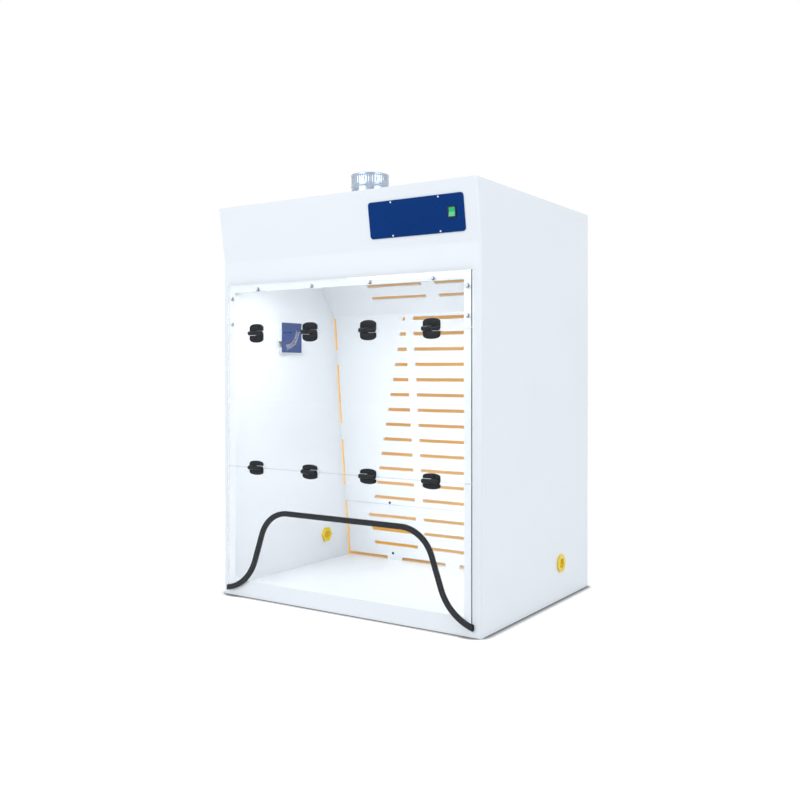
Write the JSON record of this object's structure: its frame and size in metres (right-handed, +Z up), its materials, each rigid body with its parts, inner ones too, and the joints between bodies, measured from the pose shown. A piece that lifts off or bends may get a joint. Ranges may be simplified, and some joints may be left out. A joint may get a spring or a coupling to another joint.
{
  "type": "bench fume hood",
  "caption": "White polypropylene bench fume hood with a hinged clear front, arched arm opening, slotted baffle, round exhaust collar and fan.",
  "frame": {"origin": "centre of the cabinet's base footprint, on the surface that the hood stands on", "axes": "+X to the right as seen from the front, +Y to the back, +Z up"},
  "size_m": [0.924, 0.749, 1.335],
  "materials": {
    "white_polypropylene": "smooth welded sheet, faint sheen",
    "natural_polypropylene": "natural amber sheet",
    "clear_sheet": "clear plastic sheet with polished edges",
    "black_nylon": "moulded black nylon",
    "black_edge_trim": "black extruded edge trim",
    "white_nylon": "white moulded nylon",
    "galvanised_steel": "bright galvanised sheet",
    "fan_polypropylene": "grey moulded fan wheel",
    "motor_enamel": "dark enamel",
    "blue_plate": "printed-colour plastic plate",
    "grey_box": "grey enamel",
    "black_switch": "moulded black plastic",
    "green_rocker": "clear green rocker",
    "lamp_enamel": "white enamel",
    "lamp_lens": "frosted lens",
    "gauge_case": "clear grey plastic",
    "gauge_vane": "light orange vane",
    "yellow_port": "yellow moulded plastic"
  },
  "bodies": {
    "cabinet": {"front_frame": "white_polypropylene", "left_side_wall": "white_polypropylene", "right_side_wall": "white_polypropylene", "rear_wall": "white_polypropylene", "floor_panel": "white_polypropylene", "ceiling_deck": "white_polypropylene", "top_panel": "white_polypropylene", "main_baffle": "white_polypropylene", "lower_baffle": "white_polypropylene", "baffle_batten": "white_polypropylene", "baffle_cleats": "white_polypropylene", "plenum_liner": "natural_polypropylene", "fixed_panel": "clear_sheet", "upper_hinge_top_leaves": "black_nylon", "fixed_panel_spacers": "white_nylon", "exhaust_collar": "galvanised_steel", "fan_inlet_ring": "galvanised_steel", "fan_bracket": "galvanised_steel", "fan_motor": "motor_enamel", "control_plate": "blue_plate", "gauge_face": "blue_plate", "control_box": "grey_box", "switch_housing": "black_switch", "power_inlet": "black_switch", "lamp_housing": "lamp_enamel", "lamp_lens": "lamp_lens", "gauge_body": "gauge_case", "cord_port_left": "yellow_port", "cord_port_right": "yellow_port", "port_lock_nuts": "yellow_port"},
    "middle_front": {"middle_panel": "clear_sheet", "upper_hinge_swing_leaves": "black_nylon", "lower_hinge_top_leaves": "black_nylon"},
    "lower_front": {"lower_panel": "clear_sheet", "edge_trim": "black_edge_trim", "lower_hinge_swing_leaves": "black_nylon"},
    "rocker": {"switch_rocker": "green_rocker"},
    "vane": {"gauge_vane": "gauge_vane"},
    "impeller": {"fan_impeller": "fan_polypropylene"}
  },
  "joints": [
    {"name": "middle_front_hinge", "type": "hinge", "parent": "cabinet", "child": "middle_front", "pos_m": [0, -0.376, 0.81], "axis": [-1, 0, 0], "range_deg": [0, 150]},
    {"name": "lower_front_hinge", "type": "hinge", "parent": "middle_front", "child": "lower_front", "pos_m": [0, -0.376, 0.4015], "axis": [-1, 0, 0], "range_deg": [0, 180]},
    {"name": "rocker_pivot", "type": "hinge", "parent": "cabinet", "child": "rocker", "pos_m": [0.378, -0.37397, 1.11481], "axis": [1, 0, 0], "range_deg": [0, 14]},
    {"name": "vane_pivot", "type": "hinge", "parent": "cabinet", "child": "vane", "pos_m": [-0.437, -0.092, 0.833], "axis": [1, 0, 0], "range_deg": [0, 85]},
    {"name": "impeller_spin", "type": "hinge", "parent": "cabinet", "child": "impeller", "pos_m": [0, 0.215, 1.08], "axis": [0, 0, 1], "continuous": true}
  ]
}
